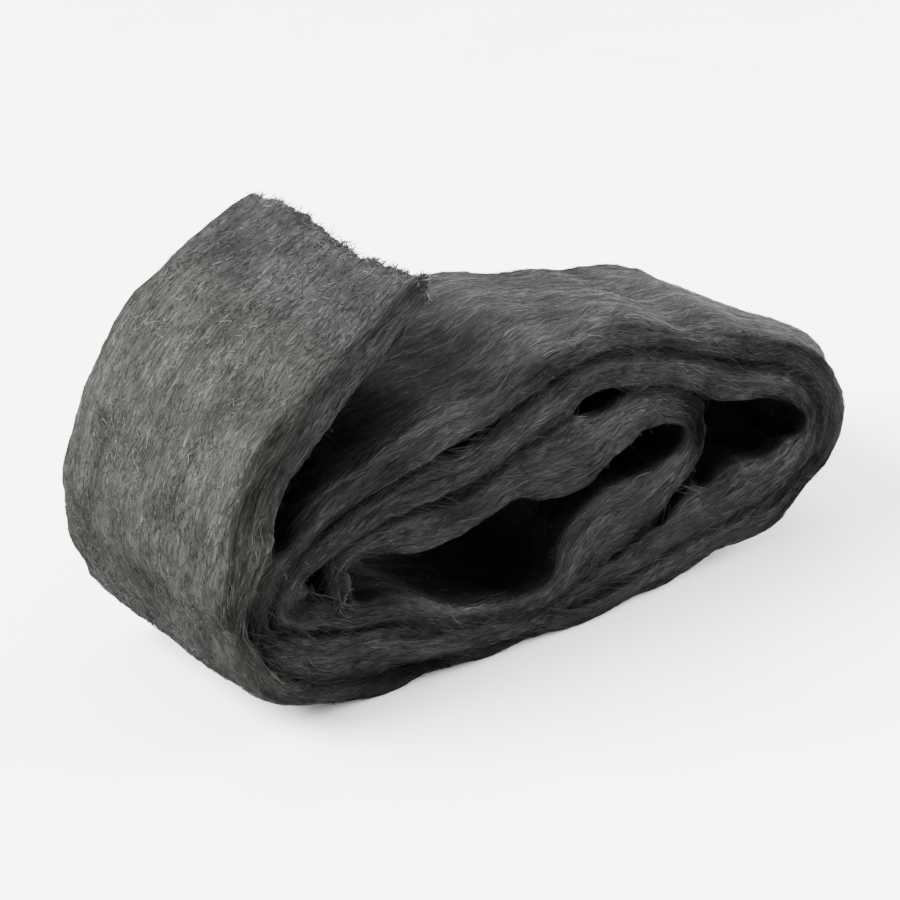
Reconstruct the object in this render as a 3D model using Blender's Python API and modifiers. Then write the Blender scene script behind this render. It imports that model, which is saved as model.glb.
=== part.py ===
"""Steel wool pad: one long ribbon of steel wool, wound flat on itself into a hand-sized roll.

The pad stands on its long side, and the ribbon's width lies along Y. Seen from -Y, the ribbon runs
from a free flap at the upper left, down round the left end, along the bench to the right end and back
over the top, three times round, and its inner end lies among the hollows in the middle.
Lengths here are in millimetres. The finished mesh is in metres, with +Z up and the origin under its middle.
"""

import math

import bmesh
import bpy
import numpy as np

METRES_PER_MM = 0.001

# Sizes of the pad and of its ribbon
PAD_LENGTH = 147.5
FLAP_HEIGHT = 80.0
RIBBON_WIDTH = 49.0
FREE_LOFT = 7.0
TURN_GAP = 0.6
EDGE_LOFT_SHARE = 0.8

# The bench cuts the route's heights here, so that the lowest turn rests on a flat strip
BENCH_LEVEL = -1.8

# How the far side of the roll differs from the near side, which the route below is drawn for.
# The far side has no hump, reaches further to the right, is less puffed up, and its flap stands higher.
FAR_SAG = 10.0
FAR_SAG_MIDDLE = 112.0
FAR_SAG_REACH = 50.0
HUMP_HEIGHT = 58.0
FAR_END_STRETCH = 6.0
FAR_PUFF_SHARE = 0.4

# How far the outermost turn stands further out on the far side, at these distances along the ribbon
FAR_OUTWARD_SHIFT = [
    (0, 1.2), (12, 2.9), (28, 3.7), (40, 1.9), (53, -0.9), (66, -0.3), (80, -0.3), (104, 0.9), (140, 0),
    (230, 0), (240, -0.8), (252, -1.7), (260, -0.8), (266, 0.1),
    (273, 1), (280, 0.6), (293, 0.6), (301, 0.8), (309, 0),
]

# The torn outer end: how far it reaches past the route's end at each place across the width, from -1 to 1,
# and the length of ribbon that is drawn out with it
TORN_END_REACH = [(-1, 1.2), (-0.75, 0.8), (-0.35, -0.2), (0.1, 0.6), (0.4, 2.2), (0.75, 2.4), (1, 0.9)]
TORN_END_LENGTH = 12.0

# Lumps and furrows on the outside of the outermost turn, where nothing presses on it: waves over its face,
# each with its height, its length along the ribbon, its length across it, and its phase. On the far side
# they have only a share of that height.
OUTER_LUMPS = [(0.35, 24, 60, 0.4), (0.35, 33, -27, 2.1), (0.3, 14, 90, 4.4), (0.3, -60, 21, 1.3)]
FAR_LUMPS_SHARE = 0.35
OUTER_TURN_LENGTH = 335.0
LOWEST_LUMP = 6.0
LUMPS_FADE = 10.0

# How loosely the ribbon lies: its edges wander along Y, and its faces ripple
EDGE_WANDER = 0.9
WANDER_LENGTH = 96.0
FACE_RIPPLE = 0.3
RIPPLE_LENGTH = 23.0

# Mesh steps: the longest facet along the ribbon, and the largest turn between two facets
LONGEST_STEP = 5.5
LARGEST_TURN = math.radians(14)
ROUTE_STEP = 0.4

# Where the columns of the ribbon's mesh lie across its width, from -1 on the near edge to 1 on the far one
COLUMNS = (-1.0, -0.96, -0.84, -0.6, -0.3, 0.0, 0.3, 0.6, 0.84, 0.96, 1.0)

# The ribbon's middle line on the near side: distance from the left end, height, share of the free loft.
# Where turns press on each other they come out thinner than this, as loft_between_turns works out.
ROUTE_LENGTH = 147.5
ROUTE_HEIGHT = 80.0
FLAP = [
    (45.6, 77, 0.8), (37.3, 71.6, 0.92), (28, 66.5, 0.97), (18.5, 59.6, 1), (10.5, 51, 1), (5.8, 43, 1),
]
FIRST_TURN = [
    (4, 35, 0.95), (4, 26, 0.9), (6.3, 17.2, 0.85), (11.4, 9.6, 0.85), (19.6, 4.6, 0.8), (30, 1.5, 0.8),
    (42, 0.6, 0.75), (56, -0.2, 0.65), (70, -0.6, 0.65), (84, -0.5, 0.65), (98, 0.6, 0.7), (113, 2.6, 0.8),
    (123, 3.8, 0.85), (131.2, 5.2, 0.85), (138.2, 8.7, 0.85), (143.4, 13.7, 0.85), (145.2, 20.5, 0.85),
    (144.3, 28, 0.9), (139.6, 35, 0.95), (131.5, 40.5, 1), (121.5, 44.7, 1), (111, 48.5, 1), (102, 51.6, 1),
    (93, 54.2, 1), (84, 55.6, 1), (76, 55, 1), (67, 52.2, 1), (57, 49.6, 1), (47, 48.4, 1), (38, 46.2, 1),
    (30, 42.8, 1), (22, 38.5, 1), (15, 33.5, 0.95),
]
SECOND_TURN = [
    (10.5, 27.5, 0.9), (9.8, 21, 0.85), (12.6, 15.6, 0.85), (18, 12.2, 1.05), (26, 10.4, 1.3),
    (36, 8.6, 1.25), (46, 6.4, 1), (56, 4.2, 0.75), (66, 3.3, 0.65), (76, 3.2, 0.65), (86, 4.3, 0.7),
    (96, 6.2, 0.8), (106, 8, 0.85), (116, 9.4, 0.9), (125, 12, 0.9), (132.4, 15.4, 0.85),
    (137.9, 20, 0.75), (138.9, 25.2, 0.7), (135.2, 30, 0.75), (128, 33.8, 0.85), (120, 37, 0.9),
    (110, 41.6, 1), (101, 45, 1), (92, 47.6, 1), (84, 47.6, 1), (76, 45, 1), (67, 42, 1), (57, 40, 1),
    (47, 39.4, 1), (38, 38, 1), (30, 35.8, 0.95), (22.5, 32.6, 0.85),
]
EYE = [
    (17, 28.6, 0.75), (15.6, 24, 0.7), (18.6, 20.6, 0.7), (24, 19, 0.7),
]
THIRD_TURN = [
    (30, 17, 0.85), (37, 15.6, 0.95), (45, 12.8, 1), (53, 9.6, 0.85), (61, 7.5, 0.7), (69, 7, 0.65),
    (76.5, 9, 0.85), (82.4, 13.8, 1.6), (88.5, 16.8, 2.05), (96, 18.3, 1.75), (103.5, 20.6, 1.25),
    (109.6, 25.2, 0.8), (110, 31.4, 0.7), (104.5, 35.8, 0.85), (96, 36.6, 1.2), (88, 34.8, 1.6),
    (81, 33.4, 2), (73, 33.2, 1.75), (65, 33, 1.4), (57, 31.8, 1.35), (47, 30.4, 1.4), (38, 30.6, 1.2),
    (30.5, 30, 0.85), (26.8, 27, 0.6), (27, 23.8, 0.4),
]
ROUTE = FLAP + FIRST_TURN + SECOND_TURN + EYE + THIRD_TURN

STEEL_GREY = (0.105, 0.106, 0.1, 1.0)


def clear_scene():
    for obj in list(bpy.data.objects):
        bpy.data.objects.remove(obj)


def smooth_curve(points, step):
    """A centripetal Catmull-Rom curve through the points, sampled about every step along it."""
    points = np.array(points, float)
    padded = np.vstack([2 * points[0] - points[1], points, 2 * points[-1] - points[-2]])
    samples = []
    for p0, p1, p2, p3 in zip(padded, padded[1:], padded[2:], padded[3:]):
        spans = [np.linalg.norm((b - a)[:2]) ** 0.5 for a, b in ((p0, p1), (p1, p2), (p2, p3))]
        t0, t1, t2, t3 = np.cumsum([0] + spans)
        count = max(2, math.ceil(np.linalg.norm((p2 - p1)[:2]) / step))
        for t in np.linspace(t1, t2, count, endpoint=False):
            a1 = p0 + (p1 - p0) * (t - t0) / (t1 - t0)
            a2 = p1 + (p2 - p1) * (t - t1) / (t2 - t1)
            a3 = p2 + (p3 - p2) * (t - t2) / (t3 - t2)
            b1 = a1 + (a2 - a1) * (t - t0) / (t2 - t0)
            b2 = a2 + (a3 - a2) * (t - t1) / (t3 - t1)
            samples.append(b1 + (b2 - b1) * (t - t1) / (t2 - t1))
    samples.append(points[-1])
    return np.array(samples)


def along(curve):
    """Distance along the curve at each of its points."""
    return np.concatenate([[0], np.cumsum(np.linalg.norm(np.diff(curve[:, :2], axis=0), axis=1))])


def sideways(curve):
    """The unit vector square to the curve at each of its points, to the left of the way it runs."""
    heading = np.gradient(curve[:, :2], axis=0)
    heading /= np.linalg.norm(heading, axis=1)[:, None]
    return np.stack([-heading[:, 1], heading[:, 0]], axis=1)


def stations_of(curve):
    """Points picked from the fine curve, closer together where it bends."""
    heading = np.diff(curve[:, :2], axis=0)
    angle = np.unwrap(np.arctan2(heading[:, 1], heading[:, 0]))
    turned = np.concatenate([[0], np.cumsum(np.abs(np.diff(angle))), [0]])
    turned[-1] = turned[-2]
    cost = along(curve) / LONGEST_STEP + turned / LARGEST_TURN
    wanted = np.linspace(0, cost[-1], math.ceil(cost[-1]) + 1)
    return np.stack([np.interp(wanted, cost, column) for column in curve.T], axis=1)


def middle_line():
    """The ribbon's middle line on the near side: x, z and free loft, in millimetres."""
    scale = np.array([PAD_LENGTH / ROUTE_LENGTH, FLAP_HEIGHT / ROUTE_HEIGHT, FREE_LOFT])
    return stations_of(smooth_curve(np.array(ROUTE, float) * scale, ROUTE_STEP))


def far_sag(x):
    """How far the top has sunk on the far side, at each distance from the left end."""
    return FAR_SAG * np.exp(-(((x - FAR_SAG_MIDDLE) / FAR_SAG_REACH) ** 2))


def at_width(line, across):
    """The middle line's x and z where the ribbon's width is at across, from -1 near to 1 far."""
    x, z = line[:, 0], line[:, 1]
    far = (across + 1) / 2
    far = far**2 * (3 - 2 * far)
    distance = along(line)
    ripple = FACE_RIPPLE * np.sin(2 * math.pi * distance / RIPPLE_LENGTH + 2.2 * across)
    outward = far * np.interp(distance, *zip(*FAR_OUTWARD_SHIFT))
    inward_side = sideways(line)
    ahead = np.stack([inward_side[:, 1], -inward_side[:, 0]], axis=1)
    torn = np.interp(across, *zip(*TORN_END_REACH)) * np.clip(1 - distance / TORN_END_LENGTH, 0, 1)
    offset = inward_side * (ripple - outward)[:, None] - ahead * torn[:, None]
    right_half = np.clip(2 * x / PAD_LENGTH - 1, 0, 1)
    return np.stack([
        x + far * FAR_END_STRETCH * right_half**2 + offset[:, 0],
        z - far * far_sag(x) * np.clip(z / HUMP_HEIGHT, 0, 1) ** 2 + offset[:, 1],
    ], axis=1)


def outer_lumps(line, across):
    """How far the outermost turn bulges out, or in where negative, at each station of one column."""
    distance = along(line)
    y = across * RIBBON_WIDTH / 2
    waves = sum(
        height * np.sin(2 * math.pi * (distance / length + y / width) + phase)
        for height, length, width, phase in OUTER_LUMPS
    )
    clear_of_bench = np.clip((line[:, 1] - LOWEST_LUMP) / LUMPS_FADE, 0, 1)
    uncovered = np.clip((OUTER_TURN_LENGTH - distance) / LUMPS_FADE, 0, 1)
    share = 1 - (1 - FAR_LUMPS_SHARE) * (across + 1) / 2
    return waves * share * clear_of_bench * uncovered


def room_for_turns(points, distance, loft):
    """The most that each point of one column can be thick. Near turns share the room by their free lofts."""
    start, end = points[:-1], points[1:]
    run = end - start
    share = np.einsum("ijk,jk->ij", points[:, None] - start[None], run) / (run**2).sum(axis=1)
    nearest = start[None] + np.clip(share, 0, 1)[:, :, None] * run[None]
    between_middles = np.linalg.norm(points[:, None] - nearest, axis=2)
    other_loft = np.maximum(loft[:-1], loft[1:])[None]
    room = 2 * (between_middles - TURN_GAP) * loft[:, None] / (loft[:, None] + other_loft)
    along_ribbon = np.abs(distance[:, None] - (distance[:-1] + distance[1:])[None] / 2)
    return np.where(along_ribbon > 2.5 * FREE_LOFT, room, np.inf).min(axis=1)


def loft_between_turns(line, across):
    """The ribbon's thickness at each station of one column: its free loft, or less where turns press."""
    puff = np.maximum(line[:, 2] - FREE_LOFT, 0)
    loft = line[:, 2] - puff * (1 - FAR_PUFF_SHARE) * (across + 1) / 2
    room = room_for_turns(at_width(line, across), along(line), loft)
    edge = abs(across) ** 14
    return np.minimum(loft, room) * (1 - (1 - EDGE_LOFT_SHARE) * edge)


def wandering_edge(distance, across):
    """Y of the ribbon at this distance along it. Its two edges wander a little, each in its own way."""
    phase = 2 * math.pi * distance / WANDER_LENGTH
    near = EDGE_WANDER * (np.sin(phase + 0.6) + 0.5 * np.sin(2.7 * phase))
    far = EDGE_WANDER * (np.sin(phase + 2.9) + 0.5 * np.sin(2.3 * phase + 1.1))
    return across * RIBBON_WIDTH / 2 + np.where(across < 0, near, far) * across**2


def ribbon_sheet(line):
    """The ribbon's middle surface as a grid mesh, and the thickness wanted at each of its points."""
    sheet = bmesh.new()
    bmesh.ops.create_grid(sheet, x_segments=len(line) - 1, y_segments=len(COLUMNS) - 1, size=1)
    corners = sorted(sheet.verts, key=lambda v: (round(v.co.y, 4), round(v.co.x, 4)))
    thickness = {}
    distance = along(line)
    rows = iter(corners)
    for across in COLUMNS:
        lumps = outer_lumps(line, across)
        places = at_width(line, across) - sideways(line) * lumps[:, None] / 2
        lofts = loft_between_turns(line, across) + lumps
        for place, y, loft in zip(places, wandering_edge(distance, across), lofts):
            corner = next(rows)
            corner.co = (place[0], y, place[1])
            thickness[corner.index] = loft
    return sheet, thickness


def wound_ribbon(collection):
    """The whole ribbon: its middle surface, thickened to the loft that the turns leave it."""
    line = middle_line()
    sheet, thickness = ribbon_sheet(line)
    mesh = bpy.data.meshes.new("wound_ribbon")
    sheet.to_mesh(mesh)
    sheet.free()
    ribbon = bpy.data.objects.new("wound_ribbon", mesh)
    collection.objects.link(ribbon)
    thickest = max(thickness.values())
    group = ribbon.vertex_groups.new(name="loft")
    for index, loft in thickness.items():
        group.add([index], loft / thickest, "REPLACE")
    solidify = ribbon.modifiers.new("Loft", "SOLIDIFY")
    solidify.thickness = thickest
    solidify.offset = 0
    solidify.vertex_group = group.name
    return ribbon


def settle_on_bench(ribbon):
    """Presses flat what reaches below the bench, and puts the origin under the middle of the pad."""
    bpy.context.view_layer.update()
    graph = bpy.context.evaluated_depsgraph_get()
    solid = bpy.data.meshes.new_from_object(ribbon.evaluated_get(graph))
    ribbon.modifiers.clear()
    ribbon.data = solid
    corners = np.array([v.co for v in solid.vertices])
    low, high = corners.min(axis=0), corners.max(axis=0)
    for vertex in solid.vertices:
        x, y, z = vertex.co
        vertex.co = (
            (x - (low[0] + high[0]) / 2) * METRES_PER_MM,
            (y - (low[1] + high[1]) / 2) * METRES_PER_MM,
            max(z - BENCH_LEVEL, 0.0) * METRES_PER_MM,
        )
    solid.shade_smooth()
    solid.set_sharp_from_angle(angle=math.radians(50))


def steel_wool():
    material = bpy.data.materials.new("steel_wool")
    material.use_nodes = True
    shader = material.node_tree.nodes["Principled BSDF"]
    shader.inputs["Base Color"].default_value = STEEL_GREY
    shader.inputs["Metallic"].default_value = 0.6
    shader.inputs["Roughness"].default_value = 0.6
    return material


def main():
    clear_scene()
    collection = bpy.data.collections.new("steel_wool_pad")
    bpy.context.scene.collection.children.link(collection)
    ribbon = wound_ribbon(collection)
    settle_on_bench(ribbon)
    ribbon.data.materials.clear()
    ribbon.data.materials.append(steel_wool())


main()
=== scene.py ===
"""The look of the steel wool pad: a loose ribbon of fine steel fibres, wound flat on itself.

The ribbon's body is one closed mesh, uneven as wool is, and thousands of separate fibres lie on it.
Lengths here are in millimetres, and each finished mesh is in metres.
"""

import math

import bpy
import numpy as np
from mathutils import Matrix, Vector
from mathutils.bvhtree import BVHTree

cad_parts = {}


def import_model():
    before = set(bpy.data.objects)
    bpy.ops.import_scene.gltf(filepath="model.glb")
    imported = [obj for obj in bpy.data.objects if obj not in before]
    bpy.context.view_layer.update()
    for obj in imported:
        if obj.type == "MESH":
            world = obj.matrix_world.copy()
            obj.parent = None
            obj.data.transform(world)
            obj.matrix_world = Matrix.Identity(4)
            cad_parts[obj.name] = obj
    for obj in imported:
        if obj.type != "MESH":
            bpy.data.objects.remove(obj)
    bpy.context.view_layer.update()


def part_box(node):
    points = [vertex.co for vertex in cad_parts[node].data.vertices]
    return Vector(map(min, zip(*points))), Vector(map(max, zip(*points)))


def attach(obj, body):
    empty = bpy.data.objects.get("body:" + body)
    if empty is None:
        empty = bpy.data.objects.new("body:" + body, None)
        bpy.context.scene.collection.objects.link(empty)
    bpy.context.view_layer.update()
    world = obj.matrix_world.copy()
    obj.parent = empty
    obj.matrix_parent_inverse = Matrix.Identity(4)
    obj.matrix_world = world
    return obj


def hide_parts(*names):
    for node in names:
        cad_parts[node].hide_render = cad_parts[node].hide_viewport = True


METRES_PER_MM = 0.001

# Sizes of the pad and of its ribbon
PAD_LENGTH = 147.5
RIBBON_WIDTH = 49.0
FREE_LOFT = 7.0
TURN_GAP = 0.6
BENCH_LEVEL = -1.8

# How the far side of the roll differs from the near side, which the route below is drawn for
FAR_SAG = 10.0
FAR_SAG_MIDDLE = 112.0
FAR_SAG_REACH = 50.0
HUMP_HEIGHT = 58.0
FAR_END_STRETCH = 6.0
FAR_PUFF_SHARE = 0.4

# How far the outermost turn stands further out on the far side, at these distances along the ribbon
FAR_OUTWARD_SHIFT = [
    (0, 1.2), (12, 2.9), (28, 3.7), (40, 1.9), (53, -0.9), (66, -0.3), (80, -0.3), (104, 0.9), (140, 0),
    (230, 0), (240, -0.8), (252, -1.7), (260, -0.8), (266, 0.1),
    (273, 1), (280, 0.6), (293, 0.6), (301, 0.8), (309, 0),
]

# The torn outer end: how far it reaches past the route's end at each place across the width, from -1 to 1
TORN_END_REACH = [(-1, 1.2), (-0.75, 0.8), (-0.35, -0.2), (0.1, 0.6), (0.4, 2.2), (0.75, 2.4), (1, 0.9)]
TORN_END_LENGTH = 12.0

# Lumps and furrows on the outside of the outermost turn: waves over its face, each with its height,
# its length along the ribbon, its length across it, and its phase, and their share of it on the far side
OUTER_LUMPS = [(0.35, 24, 60, 0.4), (0.35, 33, -27, 2.1), (0.3, 14, 90, 4.4), (0.3, -60, 21, 1.3)]
FAR_LUMPS_SHARE = 0.35
OUTER_TURN_LENGTH = 335.0
LOWEST_LUMP = 6.0
LUMPS_FADE = 10.0

# How loosely the ribbon lies: its faces ripple, with a lag across the width, and its edges wander along Y
FACE_RIPPLE = 0.3
RIPPLE_LENGTH = 23.0
RIPPLE_LAG = 2.2
EDGE_WANDER = 0.9
WANDER_LENGTH = 96.0

# The waves that each edge wanders in: share, cycles in one wander length, and phase
NEAR_EDGE_WAVES = [(1, 1, 0.6), (0.5, 2.7, 0)]
FAR_EDGE_WAVES = [(1, 1, 2.9), (0.5, 2.3, 1.1)]

# The ribbon's middle line on the near side: distance from the left end, height, share of the free loft
FLAP = [
    (45.6, 77, 0.8), (37.3, 71.6, 0.92), (28, 66.5, 0.97), (18.5, 59.6, 1), (10.5, 51, 1), (5.8, 43, 1),
]
FIRST_TURN = [
    (4, 35, 0.95), (4, 26, 0.9), (6.3, 17.2, 0.85), (11.4, 9.6, 0.85), (19.6, 4.6, 0.8), (30, 1.5, 0.8),
    (42, 0.6, 0.75), (56, -0.2, 0.65), (70, -0.6, 0.65), (84, -0.5, 0.65), (98, 0.6, 0.7), (113, 2.6, 0.8),
    (123, 3.8, 0.85), (131.2, 5.2, 0.85), (138.2, 8.7, 0.85), (143.4, 13.7, 0.85), (145.2, 20.5, 0.85),
    (144.3, 28, 0.9), (139.6, 35, 0.95), (131.5, 40.5, 1), (121.5, 44.7, 1), (111, 48.5, 1), (102, 51.6, 1),
    (93, 54.2, 1), (84, 55.6, 1), (76, 55, 1), (67, 52.2, 1), (57, 49.6, 1), (47, 48.4, 1), (38, 46.2, 1),
    (30, 42.8, 1), (22, 38.5, 1), (15, 33.5, 0.95),
]
SECOND_TURN = [
    (10.5, 27.5, 0.9), (9.8, 21, 0.85), (12.6, 15.6, 0.85), (18, 12.2, 1.05), (26, 10.4, 1.3),
    (36, 8.6, 1.25), (46, 6.4, 1), (56, 4.2, 0.75), (66, 3.3, 0.65), (76, 3.2, 0.65), (86, 4.3, 0.7),
    (96, 6.2, 0.8), (106, 8, 0.85), (116, 9.4, 0.9), (125, 12, 0.9), (132.4, 15.4, 0.85),
    (137.9, 20, 0.75), (138.9, 25.2, 0.7), (135.2, 30, 0.75), (128, 33.8, 0.85), (120, 37, 0.9),
    (110, 41.6, 1), (101, 45, 1), (92, 47.6, 1), (84, 47.6, 1), (76, 45, 1), (67, 42, 1), (57, 40, 1),
    (47, 39.4, 1), (38, 38, 1), (30, 35.8, 0.95), (22.5, 32.6, 0.85),
]
EYE = [
    (17, 28.6, 0.75), (15.6, 24, 0.7), (18.6, 20.6, 0.7), (24, 19, 0.7),
]
THIRD_TURN = [
    (30, 17, 0.85), (37, 15.6, 0.95), (45, 12.8, 1), (53, 9.6, 0.85), (61, 7.5, 0.7), (69, 7, 0.65),
    (76.5, 9, 0.85), (82.4, 13.8, 1.6), (88.5, 16.8, 2.05), (96, 18.3, 1.75), (103.5, 20.6, 1.25),
    (109.6, 25.2, 0.8), (110, 31.4, 0.7), (104.5, 35.8, 0.85), (96, 36.6, 1.2), (88, 34.8, 1.6),
    (81, 33.4, 2), (73, 33.2, 1.75), (65, 33, 1.4), (57, 31.8, 1.35), (47, 30.4, 1.4), (38, 30.6, 1.2),
    (30.5, 30, 0.85), (26.8, 27, 0.6), (27, 23.8, 0.4),
]
TUCKED_IN = [(27.8, 20.8, 0.6)]
ROUTE = FLAP + FIRST_TURN + SECOND_TURN + EYE + THIRD_TURN + TUCKED_IN

# Stations this many free lofts apart are on different turns, and two turns face each other where this
# share of the way between them is square to the ribbon
OTHER_TURN_LOFTS = 2.5
FACING_SHARE = 0.75

# Turns closer together than this lie against each other, this deep in each other, and the gap narrows
# over this share of it
CLOSED_GAP = 3.6
PRESSED_IN = 0.7
PRESS_FADE = 0.35

# Spots are places in the roll: distance from the left end, height, radius, and a value there, which is
# gone at this many radii
SPOT_REACH = 1.8
# Slits that stay open between such turns, with 1 where all of the slit is open
OPEN_SLITS = [
    (55, 44, 5, 1), (37, 35.6, 2.5, 1), (53, 35.8, 3.5, 1), (24.5, 16.5, 1.2, 0.7), (87, 42, 3.4, 0.78),
]
# How much wider the gaps are that close up here
CLOSED_SPOTS = [(13, 20, 7, 4.5), (24, 16, 5, 2), (12, 34, 6, 3), (67, 47, 6, 3)]
# How far the wool bulges from the ribbon's inner face here, on the near side
INNER_BULGES = [(118, 11, 8, 5), (130, 15, 6, 2), (27.5, 23, 3, 2.2), (16.5, 24, 4, 1.8), (21, 20, 4, 1.5)]
# How far the flap's near edge is rolled inwards, at these distances along the ribbon
ROLLED_INWARDS = [(0, 2.2), (12, 3), (30, 4), (46, 4), (60, 3.2), (74, 0)]
# The share of the width's near half over which both rise
BULGE_RISE = 0.7

# How the outermost turn's outer face falls away beside its edges, which are rolled, and the largest share
# of the thickness that this takes
ROLL_WIDTH = 4.5
NEAR_ROLL = 2.6
FAR_ROLL = 1.2
MOST_ROLLED = 0.7

# The ribbon's mesh: the route's steps, a cell's length, columns across a face and how evenly they lie,
# places across where the thickness is worked out, and points round an edge
ROUTE_STEP = 0.4
CELL_LENGTH = 1.4
FACE_COLUMNS = 27
EVEN_SHARE = 0.65
ANCHORS = 9
EDGE_POINTS = 9

# How far an edge stands out past its faces, and its form, from 0 for square to 1 for round
EDGE_REACH = 1.2
EDGE_ROUNDNESS = 0.45

# The ribbon's two ends: the length over which they round off, and the share of the thickness left there
FREE_END_LENGTH = 2.2
THINNEST_END = 0.25

# The wool's relief: waves, each with its height, its seed, and its lengths in two directions. It is read
# this far apart for the ribbon's two faces, and this much finer through its thickness
FACE_LUMPS = [(0.08, 1, 21, 12), (0.12, 2, 11, 4.5)]
EDGE_LAYERS = [(0.42, 4, 42, 6.5), (0.12, 5, 19, 3)]
TUFTS = [(0.1, 3, 4.2, 1.7)]
RAGGED_END = [(0.8, 6, 4.2, 5)]
RAGGED_LENGTH = 5.0
FACES_APART = 40
THICKNESS_STRETCH = 3
LOWEST_WOOL = 0.05

# How the wool's openness to light is measured: every so many cells, with rays of this reach that start
# this far off the wool, against a form with only every so many of its points
OPEN_STEP_ALONG = 5
OPEN_STEP_ROUND = 4
OPEN_RAYS = 30
OPEN_REACH = 45.0
RAY_START = 0.4
COARSE_ALONG = 3
COARSE_ROUND = 2

# Painted light and shade, put into the openness that the wool's colour is darkened by: how much the light
# that comes up from the floor counts, how much painted light the loose wool beside the roll's two sides gets,
# and how deep, and the share of their openness that those two sides keep, which paints them a little darker
FLOOR_LIGHT = 0.35
THROUGH_LIGHT = 0.16
THROUGH_REACH = 4.0
EDGE_LIGHT = 0.95

# The photo's camera, in the route's coordinates
CAMERA_PLACE = Vector((-326.8, -508.9, 357.2))
CAMERA_AZIMUTH = math.radians(-38)
CAMERA_ELEVATION = math.radians(27)
CAMERA_LENS = 156.2

# Paler and darker patches of the wool: places on a colour ramp over noise
PATCHES = [(0.38, 0.56), (0.64, 1.0)]

# Painted shade deep in the hollows: places on a colour ramp over the wool's openness, darker where it sees
# less sky
BODY_PAINTED_SHADE = [(0.25, 0.006), (0.42, 0.08), (0.55, 0.38), (0.68, 0.62), (0.92, 1.0)]
FIBRE_PAINTED_SHADE = [(0.25, 0.008), (0.42, 0.1), (0.55, 0.38), (0.68, 0.62), (0.92, 1.0)]

# The faint yellow-green of the roll's left end: where along X it starts and is full, and its colour ramp
TINT_START = -0.03
TINT_FULL = -0.07
LEFT_END_TINT = [(0.0, 1.0), (1.0, (1.0, 1.0, 0.9, 1))]

# A fibre: points along it, how thin its ends are, how far it bends, how long its waves up and down are,
# how much longer those to the side are, and how low it may lie
FIBRE_POINTS = 5
THIN_ENDS = 0.45
FIBRE_BEND = 0.5
WRIGGLE_LENGTHS = (1.6, 4)
SIDE_WRIGGLE = 1.3
LOWEST_FIBRE = 0.02
NARROWEST_CELL = 0.15

# Lighter and darker bands of fibres: waves as in the relief, their middle and their swing
TONE_BANDS = [(1, 7, 60, 6), (1, 8, 15, 6)]
TONE_MIDDLE = 0.8
TONE_SWING = 0.36

# Wisps: how open the wool is where they start, how far across it that is, how long and how level they are,
# how much less painted shade they get than the wool there, and how many pairs of places are tried for each
WISP_OPENNESS = (0.02, 0.6)
WISP_ACROSS = (0.5, 0.95)
WISP_SPAN = (3, 12)
WISP_LEVEL = 5
WISP_LESS_PAINTED_SHADE = 0.2
WISP_TRIES = 200
WISP_LOOK = {"curve": 1.3, "lift": 0, "tones": (0.1, 0.7)}

# Strands: how open the wool is where they start, how long they are, the share of that which is along the
# ribbon, and how many pairs of places are tried for each
STRAND_OPENNESS = 0.35
STRAND_SPAN = (3, 8)
STRAND_ALONG = 0.9
STRAND_TRIES = 900
STRAND_LOOK = {"curve": 0.35, "lift": 0.1, "tones": (0, 0.65)}

# Clumps: how many columns and stations they spread over, how far a clump and each of its fibres leans, how
# much shorter some clumps are, the share of a fibre that is rooted, its curve, its openness, which sets its
# painted shade, and its tone
CLUMP_SPREAD = 0.3
CLUMP_DEPTH = 2
CLUMP_LEAN = 0.5
CLUMP_FAN = 0.4
CLUMP_SIZES = (0.4, 1)
CLUMP_ROOTED = 0.4
CLUMP_CURVE = 0.4
CLUMP_OPENNESS = 0.75
CLUMP_TONES = (0.2, 1)

# How far along the ribbon the flap, the left wrap, the underside and the whole outside end
FLAP_END = 52
WRAP_END = 130
UNDERSIDE_END = 225
OUTSIDE_END = 410

# The mouths of the hollows: how open the wool is there, and how high above the bench they are
MOUTH_OPENNESS = (0.15, 0.55)
MOUTH_HEIGHT = 10

# The seed of all that is random
SEED = 11


def smooth_curve(points, step):
    """A centripetal Catmull-Rom curve through the points, sampled about every step along it."""
    points = np.array(points, float)
    padded = np.vstack([2 * points[0] - points[1], points, 2 * points[-1] - points[-2]])
    samples = []
    for p0, p1, p2, p3 in zip(padded, padded[1:], padded[2:], padded[3:]):
        steps = [np.linalg.norm((b - a)[:2]) ** 0.5 for a, b in ((p0, p1), (p1, p2), (p2, p3))]
        knots = np.cumsum([0] + steps)
        t0, t1, t2, t3 = knots
        count = max(2, math.ceil(np.linalg.norm((p2 - p1)[:2]) / step))
        for t in np.linspace(t1, t2, count, endpoint=False):
            a1 = p0 + (p1 - p0) * (t - t0) / (t1 - t0)
            a2 = p1 + (p2 - p1) * (t - t1) / (t2 - t1)
            a3 = p2 + (p3 - p2) * (t - t2) / (t3 - t2)
            b1 = a1 + (a2 - a1) * (t - t0) / (t2 - t0)
            b2 = a2 + (a3 - a2) * (t - t1) / (t3 - t1)
            samples.append(b1 + (b2 - b1) * (t - t1) / (t2 - t1))
    samples.append(points[-1])
    return np.array(samples)


def along(curve):
    """Distance along the curve at each of its points."""
    return np.concatenate([[0], np.cumsum(np.linalg.norm(np.diff(curve[:, :2], axis=0), axis=1))])


def sideways(curve):
    """The unit vector square to the curve at each of its points, to the left of the way it runs."""
    heading = np.gradient(curve[:, :2], axis=0)
    heading /= np.linalg.norm(heading, axis=1)[:, None]
    return np.stack([-heading[:, 1], heading[:, 0]], axis=1)


def middle_line():
    """The ribbon's middle line on the near side, at even steps: x, z and free loft, in millimetres."""
    fine = smooth_curve(np.array(ROUTE, float) * (1, 1, FREE_LOFT), ROUTE_STEP)
    distance = along(fine)
    wanted = np.linspace(0, distance[-1], round(distance[-1] / CELL_LENGTH) + 1)
    return np.stack([np.interp(wanted, distance, column) for column in fine.T], axis=1)


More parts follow.
